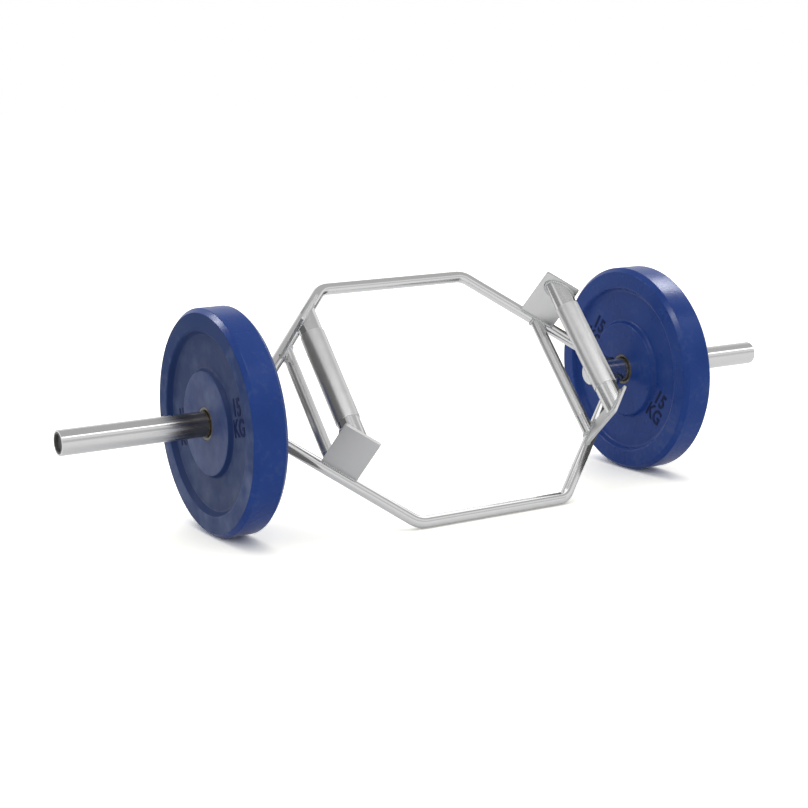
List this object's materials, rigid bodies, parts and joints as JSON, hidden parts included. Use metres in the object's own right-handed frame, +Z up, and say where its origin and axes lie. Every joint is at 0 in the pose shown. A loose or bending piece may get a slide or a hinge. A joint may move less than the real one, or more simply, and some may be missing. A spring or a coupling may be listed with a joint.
{
  "type": "hex trap bar",
  "caption": "Chromed hexagon lifting bar with low and raised knurled side handles, long loading sleeves and blue rubber bumper plates that slide and turn on them.",
  "frame": {"origin": "on the floor, midway between the two sleeve ends, below the sleeve axis", "axes": "+X along the sleeves to the right sleeve's end, +Y from the front bar on the floor to the raised back bar, +Z up"},
  "size_m": [1.68, 0.4539, 0.4563],
  "materials": {
    "chrome_bar": "bright chrome plate",
    "chrome_sleeve": "bright chrome plate",
    "chrome_cap": "satin chrome plate",
    "chrome_handle": "bright chrome plate",
    "knurled_steel": "knurled matt chrome plate",
    "gusset_steel": "satin plated plate steel",
    "weld_steel": "plated weld bead",
    "blue_rubber": "moulded blue rubber",
    "insert_steel": "turned steel, zinc yellow tint",
    "plug_plastic": "moulded black plastic"
  },
  "bodies": {
    "frame": {"front_frame_bar": "chrome_bar", "back_frame_bar": "chrome_bar", "front_left_gusset": "gusset_steel", "front_left_gusset_welds": "weld_steel", "front_right_gusset": "gusset_steel", "front_right_gusset_welds": "weld_steel", "back_left_gusset": "gusset_steel", "back_left_gusset_welds": "weld_steel", "back_right_gusset": "gusset_steel", "back_right_gusset_welds": "weld_steel", "left_sleeve_tube": "chrome_sleeve", "left_sleeve_inner_cap": "chrome_cap", "left_sleeve_end_plug": "plug_plastic", "left_sleeve_welds": "weld_steel", "left_low_handle": "chrome_handle", "left_low_handle_welds": "weld_steel", "left_raised_handle_tube": "chrome_handle", "left_raised_handle_welds": "weld_steel", "left_knurled_grip": "knurled_steel", "right_sleeve_tube": "chrome_sleeve", "right_sleeve_inner_cap": "chrome_cap", "right_sleeve_end_plug": "plug_plastic", "right_sleeve_welds": "weld_steel", "right_low_handle": "chrome_handle", "right_low_handle_welds": "weld_steel", "right_raised_handle_tube": "chrome_handle", "right_raised_handle_welds": "weld_steel", "right_knurled_grip": "knurled_steel"},
    "left_insert": {"left_hub_insert": "insert_steel"},
    "left_disc": {"left_bumper_disc": "blue_rubber"},
    "right_insert": {"right_hub_insert": "insert_steel"},
    "right_disc": {"right_bumper_disc": "blue_rubber"}
  },
  "joints": [
    {"name": "left_plate_slide", "type": "slide", "parent": "frame", "child": "left_insert", "axis": [-1, 0, 0], "range_m": [-0.008, 0.297]},
    {"name": "left_plate_turn", "type": "hinge", "parent": "left_insert", "child": "left_disc", "pos_m": [-0.507, 0, 0.225], "axis": [-1, 0, 0], "continuous": true},
    {"name": "right_plate_slide", "type": "slide", "parent": "frame", "child": "right_insert", "axis": [1, 0, 0], "range_m": [-0.008, 0.297]},
    {"name": "right_plate_turn", "type": "hinge", "parent": "right_insert", "child": "right_disc", "pos_m": [0.507, 0, 0.225], "axis": [1, 0, 0], "continuous": true}
  ]
}
